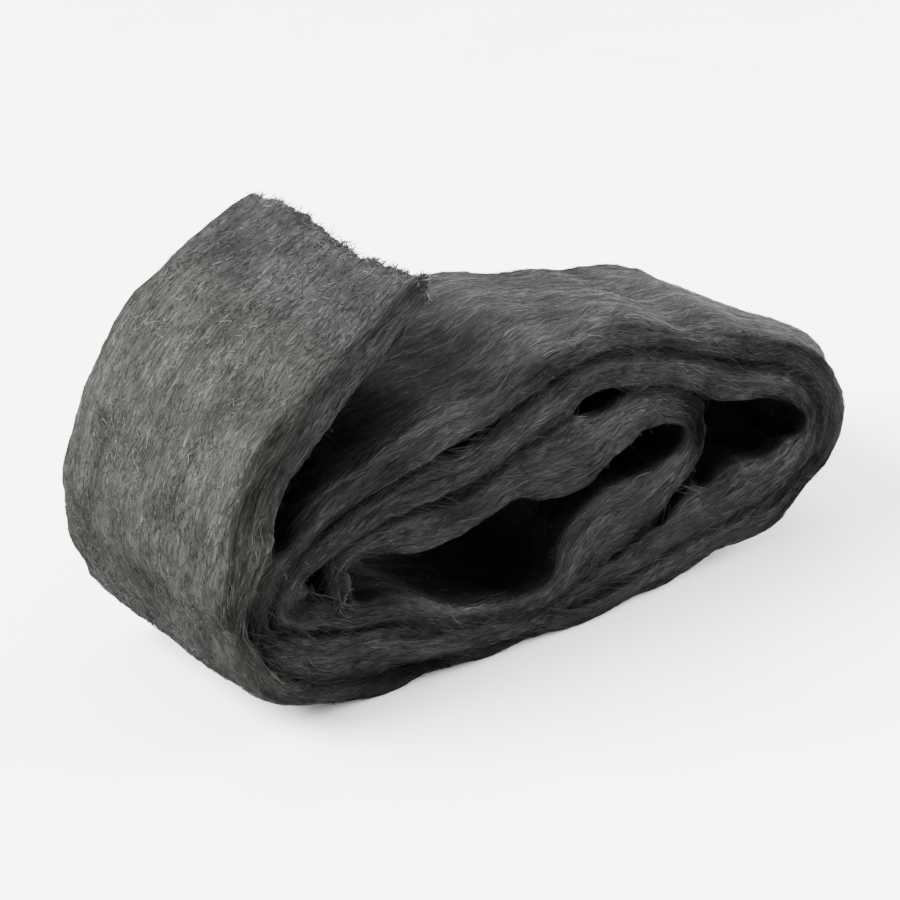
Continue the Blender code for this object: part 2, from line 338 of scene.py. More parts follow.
def far_sag(x):
    return FAR_SAG * np.exp(-(((x - FAR_SAG_MIDDLE) / FAR_SAG_REACH) ** 2))


def at_width(line, across):
    """The middle line's x and z where the ribbon's width is at across, from -1 near to 1 far."""
    x, z = line[:, 0], line[:, 1]
    far = (across + 1) / 2
    far = far**2 * (3 - 2 * far)
    distance = along(line)
    ripple = FACE_RIPPLE * np.sin(2 * math.pi * distance / RIPPLE_LENGTH + RIPPLE_LAG * across)
    outward = far * np.interp(distance, *zip(*FAR_OUTWARD_SHIFT))
    inward_side = sideways(line)
    ahead = np.stack([inward_side[:, 1], -inward_side[:, 0]], axis=1)
    torn = np.interp(across, *zip(*TORN_END_REACH)) * np.clip(1 - distance / TORN_END_LENGTH, 0, 1)
    offset = inward_side * (ripple - outward)[:, None] - ahead * torn[:, None]
    right_half = np.clip(2 * x / PAD_LENGTH - 1, 0, 1)
    return np.stack([
        x + far * FAR_END_STRETCH * right_half**2 + offset[:, 0],
        z - far * far_sag(x) * np.clip(z / HUMP_HEIGHT, 0, 1) ** 2 + offset[:, 1],
    ], axis=1)


def outer_lumps(line, across):
    """How far the outermost turn bulges out, or in where negative, at each station of one column."""
    distance = along(line)
    y = across * RIBBON_WIDTH / 2
    lumps = sum(
        height * np.sin(2 * math.pi * (distance / length + y / width) + phase)
        for height, length, width, phase in OUTER_LUMPS
    )
    clear_of_bench = np.clip((line[:, 1] - LOWEST_LUMP) / LUMPS_FADE, 0, 1)
    uncovered = np.clip((OUTER_TURN_LENGTH - distance) / LUMPS_FADE, 0, 1)
    share = 1 - (1 - FAR_LUMPS_SHARE) * (across + 1) / 2
    return lumps * share * clear_of_bench * uncovered


def to_other_turns(points, distance):
    """From each point of one column to the nearest place on each cell of the other turns."""
    start, end = points[:-1], points[1:]
    run = end - start
    share = np.einsum("ijk,jk->ij", points[:, None] - start[None], run) / (run**2).sum(axis=1)
    way = start[None] + np.clip(share, 0, 1)[:, :, None] * run[None] - points[:, None]
    middles = (distance[:-1] + distance[1:]) / 2
    other_turn = np.abs(distance[:, None] - middles[None]) > OTHER_TURN_LOFTS * FREE_LOFT
    return way, other_turn


def half_lofts(line, across):
    """How far the outer and the inner face lie from the ribbon's middle, at each station of one column."""
    points, distance = at_width(line, across), along(line)
    way, other_turn = to_other_turns(points, distance)
    apart = np.linalg.norm(way, axis=2)
    puff = np.maximum(line[:, 2] - FREE_LOFT, 0)
    loft = line[:, 2] - puff * (1 - FAR_PUFF_SHARE) * (across + 1) / 2
    other_loft = np.maximum(loft[:-1], loft[1:])[None]
    room = 2 * (apart - TURN_GAP) * loft[:, None] / (loft[:, None] + other_loft)
    half = np.minimum(loft, np.where(other_turn, room, np.inf).min(axis=1)) / 2
    inward = np.einsum("ijk,ik->ij", way, sideways(points))
    halves = []
    for side in (-1, 1):
        facing = other_turn & (side * inward > FACING_SHARE * apart)
        gap = np.where(facing, apart - half[:, None] - half[None, :-1], np.inf).min(axis=1)
        bulge = np.minimum(inner_bulge(line, across), np.maximum(gap, 0)) if side > 0 else 0
        gap = gap - bulge
        closed_gap = CLOSED_GAP + at_spots(line, CLOSED_SPOTS)
        pressed = np.clip((1 - gap / closed_gap) / PRESS_FADE, 0, 1) * (1 - at_spots(line, OPEN_SLITS))
        halves.append(half + bulge + pressed * (np.minimum(gap, closed_gap) + PRESSED_IN) / 2)
    return halves


def at_spots(line, spots):
    """The spots' value at each station: all of it close to a spot, and none out of reach."""
    total = np.zeros(len(line))
    for x, z, radius, value in spots:
        away = np.hypot(line[:, 0] - x, line[:, 1] - z)
        total = np.maximum(total, value * np.clip(SPOT_REACH - away / radius, 0, 1))
    return total


def inner_bulge(line, across):
    """How far the near side's wool stands out of the ribbon's inner face, at each station of one column."""
    near = np.clip(-across / BULGE_RISE, 0, 1)
    rolled = np.interp(along(line), *zip(*ROLLED_INWARDS))
    return near**2 * (3 - 2 * near) * np.maximum(rolled, at_spots(line, INNER_BULGES))


def rolled_edge(distance, y):
    """How far the outermost turn's outer face falls away at this place across the width."""
    beside = np.clip((abs(y) - RIBBON_WIDTH / 2 + ROLL_WIDTH) / ROLL_WIDTH, 0, 1)
    deepest = NEAR_ROLL if y < 0 else FAR_ROLL
    uncovered = np.clip((OUTER_TURN_LENGTH - distance) / LUMPS_FADE, 0, 1)
    return deepest * (1 - math.sqrt(1 - beside**2)) * uncovered


def wandering_edge(distance, across):
    """Y of the ribbon at this distance along it. Its two edges wander a little, each in its own way."""
    turned = 2 * math.pi * distance / WANDER_LENGTH
    edge_waves = NEAR_EDGE_WAVES if across < 0 else FAR_EDGE_WAVES
    wander = sum(share * np.sin(cycles * turned + phase) for share, cycles, phase in edge_waves)
    return across * RIBBON_WIDTH / 2 + EDGE_WANDER * wander * across**2


def waves(first, second, seed, length_first, length_second, count=14):
    """Smooth uneven relief over two coordinates, about -1 to 1: a sum of waves of about these lengths."""
    random = np.random.default_rng(seed)
    total = np.zeros(np.broadcast(first, second).shape)
    for turn in (np.arange(count) + random.uniform(0, 1, count)) * math.pi / count:
        size = random.uniform(0.7, 1.5)
        phase = random.uniform(0, 2 * math.pi)
        cycles = first * math.cos(turn) / length_first + second * math.sin(turn) / length_second
        total += np.sin(2 * math.pi * size * cycles + phase)
    return total / math.sqrt(count)


def relief(first, second, kinds):
    """The sum of several kinds of waves over two coordinates."""
    return sum(height * waves(first, second, *kind) for height, *kind in kinds)


def between(values, limits):
    return (values > limits[0]) & (values < limits[1])


class Ribbon:
    """The ribbon's surface as a grid: stations along it, and a closed loop of points round each station."""

    def __init__(self):
        self.line = middle_line()
        self.distance = along(self.line)
        self.across, self.height, reach = self.loop()
        self.on_edge = np.abs(self.height) < 1
        stations = len(self.line)
        anchors = np.linspace(-1, 1, ANCHORS)
        halves = np.array([half_lofts(self.line, anchor) for anchor in anchors])
        self.points = np.zeros((stations, len(self.across), 3))
        self.flat = np.zeros((stations, len(self.across), 3))
        end = np.minimum(self.distance, self.distance[-1] - self.distance) / FREE_END_LENGTH
        taper = THINNEST_END + (1 - THINNEST_END) * np.sqrt(1 - (1 - np.clip(end, 0, 1)) ** 2)
        for k, (across, height, bulge) in enumerate(zip(self.across, self.height, reach)):
            outer, inner = (
                np.array([np.interp(across, anchors, column) for column in face.T])
                for face in (halves[:, 0], halves[:, 1])
            )
            outer += outer_lumps(self.line, across)
            fall = rolled_edge(self.distance, across * RIBBON_WIDTH / 2)
            outer -= np.minimum(fall, MOST_ROLLED * (outer + inner))
            level = taper * np.where(height < 0, outer * height, inner * height)
            middle = at_width(self.line, across)
            place = middle + sideways(middle) * level[:, None]
            y = wandering_edge(self.distance, across) + bulge
            self.points[:, k] = np.stack([place[:, 0], y, place[:, 1]], axis=1)
            self.flat[:, k] = np.stack([self.distance, y, level], axis=1)
        self.settle_in_frame()
        self.out = self.outward()

    def loop(self):
        """The loop's points: place across the width, height in half lofts, and reach past the face's edge."""
        inner = 1 - 2 * EDGE_REACH / RIBBON_WIDTH
        even = np.linspace(-1, 1, FACE_COLUMNS)
        columns = inner * (EVEN_SHARE * even + (1 - EVEN_SHARE) * np.sin(even * math.pi / 2))
        turn = np.linspace(-math.pi / 2, math.pi / 2, EDGE_POINTS + 2)[1:-1]
        far_edge, near_edge = np.full(EDGE_POINTS, inner), np.full(EDGE_POINTS, -inner)
        across = np.concatenate([columns, far_edge, columns[::-1], near_edge])
        height = np.concatenate([
            np.full(FACE_COLUMNS, -1.0), np.sin(turn), np.full(FACE_COLUMNS, 1.0), -np.sin(turn),
        ])
        bulge = EDGE_REACH * np.cos(turn) ** EDGE_ROUNDNESS
        flat = np.zeros(FACE_COLUMNS)
        reach = np.concatenate([flat, bulge, flat, -bulge])
        return across, height, reach

    def settle_in_frame(self):
        """Moves the grid to where the CAD solid lies, and raises it so that the bench lies at zero height."""
        low, high = (np.array(corner) / METRES_PER_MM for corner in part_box("wound_ribbon"))
        box_middle = (self.points.min(axis=(0, 1)) + self.points.max(axis=(0, 1))) / 2
        self.shift = (low + high) / 2 - box_middle
        self.shift[2] = -BENCH_LEVEL
        self.points += self.shift

    def outward(self):
        """The unit vector that points out of the wool at each point of the grid."""
        ahead = np.gradient(self.points, axis=0)
        round_loop = np.roll(self.points, -1, axis=1) - np.roll(self.points, 1, axis=1)
        out = np.cross(round_loop, ahead)
        return out / np.maximum(np.linalg.norm(out, axis=2), 1e-9)[:, :, None]

    def roughen(self):
        """Gives the smooth form the unevenness of loose wool: lumps on its faces, layers on its edges."""
        x, y, z = np.moveaxis(self.flat, 2, 0)
        face = y + FACES_APART * np.sign(z)
        lumps = relief(x, face, FACE_LUMPS)
        layers = relief(x, z * THICKNESS_STRETCH, EDGE_LAYERS)
        lift = np.where(self.on_edge[None], layers, lumps) + relief(x, face, TUFTS)
        self.points = self.points + self.out * lift[:, :, None]
        ragged = relief(y, z, RAGGED_END) * np.clip(1 - x / RAGGED_LENGTH, 0, 1)
        back = self.points[:1] - self.points[3:4]
        back /= np.linalg.norm(back, axis=2)[:, :, None]
        self.points = self.points + back * ragged[:, :, None]
        self.points[:, :, 2] = np.maximum(self.points[:, :, 2], LOWEST_WOOL)
        self.out = self.outward()

    def measure_openness(self):
        """How much of the open sky each part of the surface sees, from 0 to 1, from which the materials paint
        shade.
        """
        tree = BVHTree.FromPolygons(*self.coarse_faces())
        rays = even_rays(OPEN_RAYS)
        places = self.points[::OPEN_STEP_ALONG, ::OPEN_STEP_ROUND]
        outs = self.out[::OPEN_STEP_ALONG, ::OPEN_STEP_ROUND]
        seen = np.zeros(places.shape[:2])
        for cell in np.ndindex(seen.shape):
            weights = np.clip(rays @ outs[cell], 0, 1)
            start = Vector(places[cell] + RAY_START * outs[cell])
            # Rays towards the floor count for less, which paints shade on wool that faces down
            floor_share = np.where(rays[:, 2] < 0, FLOOR_LIGHT, 1)
            free = [
                weight
                for ray, weight in zip(rays, weights * floor_share)
                if weight > 0 and tree.ray_cast(start, Vector(ray), OPEN_REACH)[0] is None
            ]
            # Painted light on the wool beside the roll's two sides, and painted shade on those sides
            # themselves
            beside = max(RIBBON_WIDTH / 2 - abs(places[cell][1]), 0)
            through = THROUGH_LIGHT * math.exp(-beside / THROUGH_REACH)
            light, full = sum(free), weights.sum()
            on_edge = self.on_edge[cell[1] * OPEN_STEP_ROUND]
            seen[cell] = min(EDGE_LIGHT * light / full if on_edge else light / full + through, 1)
        seen = np.concatenate([seen, seen[:, :1]], axis=1)
        rows = np.arange(self.points.shape[0]) / OPEN_STEP_ALONG
        columns = np.arange(self.points.shape[1]) / OPEN_STEP_ROUND
        self.openness = between_cells(seen, *np.meshgrid(rows, columns, indexing="ij"))

    def coarse_faces(self):
        grid = self.points[::COARSE_ALONG, ::COARSE_ROUND]
        rows, columns = grid.shape[:2]
        index = np.arange(rows * columns).reshape(rows, columns)
        beside = np.roll(index, -1, axis=1)
        faces = np.stack([index[:-1], index[1:], beside[1:], beside[:-1]], axis=2).reshape(-1, 4)
        return grid.reshape(-1, 3).tolist(), faces.tolist()

    def closed_faces(self):
        """The grid's cells, and two ends that join the loop's lower half to its upper half."""
        rows, columns = self.points.shape[:2]
        index = np.arange(rows * columns).reshape(rows, columns)
        beside = np.roll(index, -1, axis=1)
        cells = np.stack([index[:-1], index[1:], beside[1:], beside[:-1]], axis=2).reshape(-1, 4)
        order = np.roll(np.arange(columns), (EDGE_POINTS + 1) // 2)
        low, high = order[:columns // 2], order[::-1][:columns // 2]
        corners = [low[:-1], low[1:], high[1:], high[:-1]]
        first = index[0, np.stack(corners, axis=1)]
        last = index[-1, np.stack(corners[::-1], axis=1)]
        return np.concatenate([cells, first, last])


def even_rays(count):
    """Directions spread evenly over the whole sphere."""
    step = np.arange(count * 2) + 0.5
    height = 1 - step / count
    turn = step * math.pi * (1 + 5**0.5)
    level = np.sqrt(1 - height**2)
    return np.stack([level * np.cos(turn), level * np.sin(turn), height], axis=1)


def between_cells(values, row, column):
    """Values of a grid at places between its cells."""
    row = np.clip(row, 0, values.shape[0] - 1.001)
    column = np.clip(column, 0, values.shape[1] - 1.001)
    i, k = row.astype(int), column.astype(int)
    u, v = row - i, column - k
    if values.ndim == 3:
        u, v = u[..., None], v[..., None]
    return (
        values[i, k] * (1 - u) * (1 - v) + values[i + 1, k] * u * (1 - v)
        + values[i, k + 1] * (1 - u) * v + values[i + 1, k + 1] * u * v
    )


def build_mesh(name, points, quads, triangles=None, **values):
    """A mesh piece from arrays in millimetres, with a named value at each corner for each extra argument."""
    mesh = bpy.data.meshes.new(name)
    triangles = np.zeros((0, 3), int) if triangles is None else triangles
    mesh.vertices.add(len(points))
    mesh.vertices.foreach_set("co", (points * METRES_PER_MM).ravel())
    mesh.loops.add(quads.size + triangles.size)
    mesh.loops.foreach_set("vertex_index", np.concatenate([quads.ravel(), triangles.ravel()]))
    sides = np.concatenate([np.full(len(quads), 4), np.full(len(triangles), 3)])
    mesh.polygons.add(len(sides))
    mesh.polygons.foreach_set("loop_start", np.concatenate([[0], np.cumsum(sides)[:-1]]))
    mesh.update(calc_edges=True)
    mesh.validate()
    for key, value in values.items():
        flat = value.ndim == 1
        layer = mesh.attributes.new(key, "FLOAT" if flat else "FLOAT_VECTOR", "POINT")
        layer.data.foreach_set("value" if flat else "vector", value.ravel())
    mesh.shade_smooth()
    piece = bpy.data.objects.new(name, mesh)
    bpy.context.scene.collection.objects.link(piece)
    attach(piece, "root")
    return piece


class Fibres:
    """A lot of separate fibres that wander over the ribbon's grid, each a thin closed tube."""

    def __init__(self, ribbon, seed):
        self.ribbon = ribbon
        self.random = np.random.default_rng(seed)
        wrapped = np.concatenate([ribbon.points, ribbon.points[:, :1]], axis=1)
        self.places = wrapped
        self.outs = np.concatenate([ribbon.out, ribbon.out[:, :1]], axis=1)
        self.openness = np.concatenate([ribbon.openness, ribbon.openness[:, :1]], axis=1)
        self.flat = np.concatenate([ribbon.flat, ribbon.flat[:, :1]], axis=1)
        self.spacing = np.linalg.norm(np.diff(wrapped, axis=1), axis=2)
        self.columns = ribbon.points.shape[1]

    def scatter(self, weight, count):
        """Random places on the grid, as station and column. A cell's weight says how many it gets."""
        area = self.spacing[:-1] * CELL_LENGTH * weight[:-1]
        share = np.cumsum(area.ravel())
        cell = np.searchsorted(share, self.random.uniform(0, share[-1], count))
        row, column = np.divmod(cell, self.columns)
        return row + self.random.uniform(0, 1, count), column + self.random.uniform(0, 1, count)

    def cell_at(self, row, column):
        """The way from this station to the next, at these columns."""
        rows = np.full(len(column), float(row))
        return between_cells(self.places, rows + 1, column) - between_cells(self.places, rows, column)

    def tubes(self, name, weight, count, length, turn, curl, lift, rise, width):
        """Fibres that start where the weight says, and wander over the surface.

        length: shortest and longest. turn: how far they head away from the ribbon's own direction.
        curl: how strongly they wriggle. lift: lowest and highest that their middles lie over the surface.
        rise: how far their waves go up and down. width: thinnest and thickest.
        """
        random = self.random
        row, column = self.scatter(weight, count)
        flat = between_cells(self.flat, row, np.mod(column, self.columns))
        face = flat[:, 1] + 2 * flat[:, 2]
        band = relief(flat[:, 0], face, TONE_BANDS)
        tone = np.clip(random.uniform(0, 1, count) * (TONE_MIDDLE + TONE_SWING * band), 0, 1)
        size = random.uniform(*length, count)
        heading = random.normal(0, turn, count) + math.pi * random.integers(0, 2, count)
        bend = random.normal(0, FIBRE_BEND, count)
        wriggle = random.uniform(*WRIGGLE_LENGTHS, count)
        start = random.uniform(0, 2 * math.pi, (2, count))
        height = random.uniform(*lift, count)
        step = size / (FIBRE_POINTS - 1)
        path = np.zeros((count, FIBRE_POINTS, 3))
        outs = np.zeros((count, FIBRE_POINTS, 3))
        shade = np.zeros((count, FIBRE_POINTS))
        rows = self.places.shape[0]
        for n in range(FIBRE_POINTS):
            way = n * step
            around = np.mod(column, self.columns)
            spot = between_cells(self.places, row, around)
            out = between_cells(self.outs, row, around)
            wave = np.sin(2 * math.pi * way / wriggle + start[0])
            path[:, n] = spot + out * (height + rise * wave)[:, None]
            outs[:, n] = out
            shade[:, n] = between_cells(self.openness, row, around)
            angle = heading + bend * (way / size - 0.5)
            angle += curl * np.sin(2 * math.pi * way / (SIDE_WRIGGLE * wriggle) + start[1])
            i = np.clip(row.astype(int), 0, rows - 1)
            k = around.astype(int) % self.columns
            row = np.clip(row + step * np.cos(angle) / CELL_LENGTH, 0.2, rows - 1.2)
            column = column + step * np.sin(angle) / np.maximum(self.spacing[i, k], NARROWEST_CELL)
        return self.sweep(name, path, outs, shade, tone, random.uniform(*width, count) / 2)

    def wisps(self, name, side, count, width):
        """Fibres that cross the mouths of the hollows on one side, from wall to wall."""
        ribbon = self.ribbon
        wall = between(ribbon.openness, WISP_OPENNESS)
        wall &= between(side * ribbon.across, WISP_ACROSS)[None]
        places, shades = ribbon.points[wall], ribbon.openness[wall]
        first, last = self.random.integers(0, len(places), (2, count * WISP_TRIES))
        span = np.linalg.norm(places[first] - places[last], axis=1)
        level = np.abs(places[first, 1] - places[last, 1])
        good = np.nonzero(between(span, WISP_SPAN) & (level < WISP_LEVEL))[0][:count]
        first, last = first[good], last[good]
        # Wisps get less painted shade than the wool at their two ends
        shade = (shades[first] + shades[last]) / 2 + WISP_LESS_PAINTED_SHADE
        return self.bridges(name, side, places[first], places[last], shade, width, **WISP_LOOK)

    def clumps(self, name, end, clumps, count, length, width):
        """Short fibres that stick out past a torn end, which is 0 or 1, in clumps of this count."""
        random = self.random
        last = end * (self.places.shape[0] - 1)
        column = np.repeat(random.uniform(0, self.columns, clumps), count)
        column = np.mod(column + random.normal(0, CLUMP_SPREAD, len(column)), self.columns)
        row = last + (0.5 - end) * random.uniform(0, CLUMP_DEPTH, len(column))
        start = between_cells(self.places, row, column)
        way = (2 * end - 1) * self.cell_at(last - end, column)
        way /= np.linalg.norm(way, axis=1)[:, None]
        lean = np.repeat(random.normal(0, CLUMP_LEAN, (clumps, 3)), count, axis=0)
        lean += random.normal(0, CLUMP_FAN, way.shape)
        size = np.repeat(random.uniform(*CLUMP_SIZES, clumps), count) * random.uniform(*length, len(column))
        share = np.linspace(-CLUMP_ROOTED, 1, FIBRE_POINTS)[None, :, None]
        curve = random.normal(0, CLUMP_CURVE, (len(column), 1, 3)) * share**2
        path = start[:, None] + (way + lean)[:, None] * size[:, None, None] * share + curve
        outs = np.repeat(between_cells(self.outs, row, column)[:, None], FIBRE_POINTS, axis=1)
        shade = np.full((len(column), FIBRE_POINTS), CLUMP_OPENNESS)
        tone = random.uniform(*CLUMP_TONES, len(column))
        return self.sweep(name, path, outs, shade, tone, random.uniform(*width, len(column)) / 2)

    def strands(self, name, side, count, width):
        """Fibres on one side of the roll that run over from one turn to the next at a slight angle."""
        ribbon = self.ribbon
        edge = ribbon.on_edge & (side * ribbon.across > 0)
        ahead = np.gradient(ribbon.points, axis=0)[:, edge].reshape(-1, 3)
        ahead /= np.linalg.norm(ahead, axis=1)[:, None]
        distance = np.repeat(ribbon.distance, edge.sum())
        places, shades = ribbon.points[:, edge].reshape(-1, 3), ribbon.openness[:, edge].ravel()
        first, last = self.random.integers(0, len(places), (2, count * STRAND_TRIES))
        way = places[last] - places[first]
        span = np.linalg.norm(way, axis=1)
        along_ribbon = np.abs((way * ahead[first]).sum(axis=1))
        good = between(span, STRAND_SPAN) & (along_ribbon > STRAND_ALONG * span)
        good &= np.abs(distance[first] - distance[last]) > 2 * FREE_LOFT
        good &= (shades[first] > STRAND_OPENNESS) & (shades[last] > STRAND_OPENNESS)
        good = np.nonzero(good)[0][:count]
        first, last = first[good], last[good]
        shade = (shades[first] + shades[last]) / 2
        return self.bridges(name, side, places[first], places[last], shade, width, **STRAND_LOOK)

    def bridges(self, name, side, first, last, shade, width, curve, lift, tones):
        """Fibres from each first place to its last, which curve by about this much to any side."""
        random = self.random
        count = len(first)
        share = np.linspace(0, 1, FIBRE_POINTS)[None, :, None]
        aside = random.normal(0, curve, (count, 1, 3)) * np.sin(math.pi * share)
        path = first[:, None] * (1 - share) + last[:, None] * share + aside
        path[:, :, 1] += side * lift
        outs = np.tile((0.0, float(side), 0.0), (count, FIBRE_POINTS, 1))
        shade = np.repeat(shade[:, None], FIBRE_POINTS, axis=1)
        tone = random.uniform(*tones, count)
        return self.sweep(name, path, outs, shade, tone, random.uniform(*width, count) / 2)

    def sweep(self, name, path, outs, shade, tone, radius):
        """Three-sided tubes along the paths, closed at both ends."""
        count, points = path.shape[:2]
        ahead = np.gradient(path, axis=1)
        ahead /= np.maximum(np.linalg.norm(ahead, axis=2), 1e-9)[:, :, None]
        aside = np.cross(ahead, outs)
        aside /= np.maximum(np.linalg.norm(aside, axis=2), 1e-9)[:, :, None]
        up = np.cross(aside, ahead)
        thin = np.ones(points)
        thin[[0, -1]] = THIN_ENDS
        reach = (radius[:, None] * thin[None])[:, :, None]
        sides = [
            path + reach * (math.cos(turn) * aside + math.sin(turn) * up)
            for turn in (math.pi / 2, math.pi * 7 / 6, math.pi * 11 / 6)
        ]
        rings = np.stack(sides, axis=2)
        rings[..., 2] = np.maximum(rings[..., 2], LOWEST_FIBRE)
        index = np.arange(count * points * 3).reshape(count, points, 3)
        beside = np.roll(index, -1, axis=2)
        quads = np.stack([index[:, :-1], beside[:, :-1], beside[:, 1:], index[:, 1:]], axis=3).reshape(-1, 4)
        ends = np.concatenate([index[:, 0, ::-1], index[:, -1]])
        return build_mesh(
            name, rings.reshape(-1, 3), quads, ends,
            openness=np.repeat(shade.ravel(), 3), tone=np.repeat(tone, points * 3),
        )


class Nodes:
    """A material's nodes, made and joined in short lines."""

    def __init__(self, name):
        self.material = bpy.data.materials.new(name)
        self.material.use_nodes = True
        self.tree = self.material.node_tree
        self.shader = self.tree.nodes["Principled BSDF"]

    def add(self, kind, **inputs):
        """A node of this kind. Each argument is an input, or a setting of the node, by name."""
        node = self.tree.nodes.new("ShaderNode" + kind)
        for key, value in inputs.items():
            label = key.title()
            if label not in node.inputs:
                setattr(node, key, value)
            elif hasattr(value, "links"):
                self.tree.links.new(value, node.inputs[label])
            else:
                node.inputs[label].default_value = value
        return node

    def join(self, output, node, name):
        self.tree.links.new(output, node.inputs[name])

    def ramp(self, factor, *stops):
        """A colour ramp over the factor. Each stop is a place and a grey or a colour."""
        node = self.tree.nodes.new("ShaderNodeValToRGB")
        elements = node.color_ramp.elements
        for _ in stops[2:]:
            elements.new(0.5)
        for element, (place, colour) in zip(elements, stops):
            element.position = place
            element.color = colour if isinstance(colour, tuple) else (colour, colour, colour, 1)
        self.tree.links.new(factor, node.inputs["Fac"])
        return node.outputs["Color"]

    def tinted(self, colour):
        """The colour with the left end's tint."""
        place = self.add("TexCoord").outputs["Object"]
        scale = 1 / (TINT_FULL - TINT_START)
        start = (-TINT_START * scale, 0, 0)
        leftward = self.add("Mapping", vector=place, location=start, scale=(scale, 1, 1))
        share = self.add("SeparateXYZ", vector=leftward.outputs["Vector"]).outputs["X"]
        return self.product(colour, self.ramp(share, *LEFT_END_TINT))

    def product(self, first, second):
        node = self.tree.nodes.new("ShaderNodeMix")
        node.data_type = "RGBA"
        node.blend_type = "MULTIPLY"
        node.inputs["Factor"].default_value = 1
        self.tree.links.new(first, node.inputs[6])
        self.tree.links.new(second, node.inputs[7])
        return node.outputs[2]


def wool_body_material():
    """Matted wool between the separate fibres: streaks along the ribbon, and painted shade deep in the
    hollows.
    """
    nodes = Nodes("matted_wool")
    flat = nodes.add("Attribute", attribute_name="unrolled").outputs["Vector"]
    stretched = nodes.add("Mapping", vector=flat, scale=(0.14, 1.0, 1.0)).outputs["Vector"]
    streaks = nodes.add("TexNoise", vector=stretched, scale=2.2, detail=5.0, roughness=0.65, distortion=1.1)
    drawn_out = nodes.add("Mapping", vector=flat, scale=(0.045, 0.5, 0.8)).outputs["Vector"]
    bands = nodes.add("TexNoise", vector=drawn_out, scale=1.0, detail=3.0)
    patches = nodes.add("TexNoise", vector=flat, scale=0.09, detail=3.0)
    band_grey = nodes.ramp(bands.outputs["Fac"], (0.35, 0.7), (0.65, 1.0))
    streak_grey = nodes.ramp(streaks.outputs["Fac"], (0.34, 0.014), (0.52, 0.034), (0.68, 0.07))
    patch_grey = nodes.ramp(patches.outputs["Fac"], *PATCHES)
    # Painted shade: the colour is darkened where the wool sees little sky
    open_fac = nodes.add("Attribute", attribute_name="openness").outputs["Fac"]
    painted_shade_grey = nodes.ramp(open_fac, *BODY_PAINTED_SHADE)
    colour = nodes.product(nodes.product(streak_grey, patch_grey), nodes.product(band_grey, painted_shade_grey))
    nodes.join(nodes.tinted(colour), nodes.shader, "Base Color")
    nodes.shader.inputs["Specular IOR Level"].default_value = 0.03
    nodes.shader.inputs["Roughness"].default_value = 0.7
    bump = nodes.add("Bump", strength=0.9, distance=0.0006, height=streaks.outputs["Fac"])
    nodes.join(bump.outputs["Normal"], nodes.shader, "Normal")
    return nodes.material


def fibre_material():
    """Bare steel fibres, each a little lighter or darker than the next, with painted shade deep in the
    hollows.
    """
    nodes = Nodes("steel_fibre")
    tone = nodes.add("Attribute", attribute_name="tone").outputs["Fac"]
    tone_grey = nodes.ramp(tone, (0.0, 0.017), (0.7, 0.048), (1.0, 0.12))
    # Painted shade: the colour is darkened where the fibre sees little sky
    open_fac = nodes.add("Attribute", attribute_name="openness").outputs["Fac"]
    painted_shade_grey = nodes.ramp(open_fac, *FIBRE_PAINTED_SHADE)
    place = nodes.add("TexCoord").outputs["Object"]
    patches = nodes.add("TexNoise", vector=place, scale=70.0, detail=2.0)
    patch_grey = nodes.ramp(patches.outputs["Fac"], *PATCHES)
    colour = nodes.product(nodes.product(tone_grey, patch_grey), painted_shade_grey)
    nodes.join(nodes.tinted(colour), nodes.shader, "Base Color")
    nodes.shader.inputs["Metallic"].default_value = 0.35
    nodes.shader.inputs["Specular IOR Level"].default_value = 0.12
    nodes.shader.inputs["Roughness"].default_value = 0.5
    return nodes.material


def floor_and_light():
    bpy.ops.mesh.primitive_plane_add(size=6, location=(0, 0, 0))
    floor = bpy.context.object
    floor.name = "floor"
    nodes = Nodes("pale_floor")
    place = nodes.add("TexCoord").outputs["Object"]
    grain = nodes.add("TexNoise", vector=place, scale=40.0, detail=3.0)
    nodes.join(nodes.ramp(grain.outputs["Fac"], (0.3, 0.9), (0.7, 0.93)), nodes.shader, "Base Color")
    nodes.shader.inputs["Roughness"].default_value = 0.9
    floor.data.materials.append(nodes.material)
    world = bpy.data.worlds.new("studio")
    world.use_nodes = True
    sky = world.node_tree.nodes["Background"]
    sky.inputs["Color"].default_value = (1, 1, 1, 1)
    sky.inputs["Strength"].default_value = 2.0
    bpy.context.scene.world = world
    for name, power, size, place in [
        ("key_light", 150, 0.8, (-0.98, 0.4, 0.95)),
        ("top_light", 24, 1.4, (0.2, 0.5, 1.45)),
        ("fill_light", 19, 0.4, (0.58, -0.2, 0.14)),
    ]:
        light = bpy.data.lights.new(name, "AREA")
        light.energy = power
        light.size = size
        lamp = bpy.data.objects.new(name, light)
        lamp.location = place
        lamp.rotation_euler = (Vector((0, 0, 0.03)) - Vector(place)).to_track_quat("-Z", "Y").to_euler()
        bpy.context.scene.collection.objects.link(lamp)


def place_camera(shift):
    camera = bpy.data.cameras.new("camera")
    camera.lens = CAMERA_LENS
    camera.clip_start = 0.01
    eye = bpy.data.objects.new("camera", camera)
    eye.location = (CAMERA_PLACE + Vector(shift)) * METRES_PER_MM
    eye.rotation_euler = (math.pi / 2 - CAMERA_ELEVATION, 0, CAMERA_AZIMUTH)
    bpy.context.scene.collection.objects.link(eye)
    bpy.context.scene.camera = eye


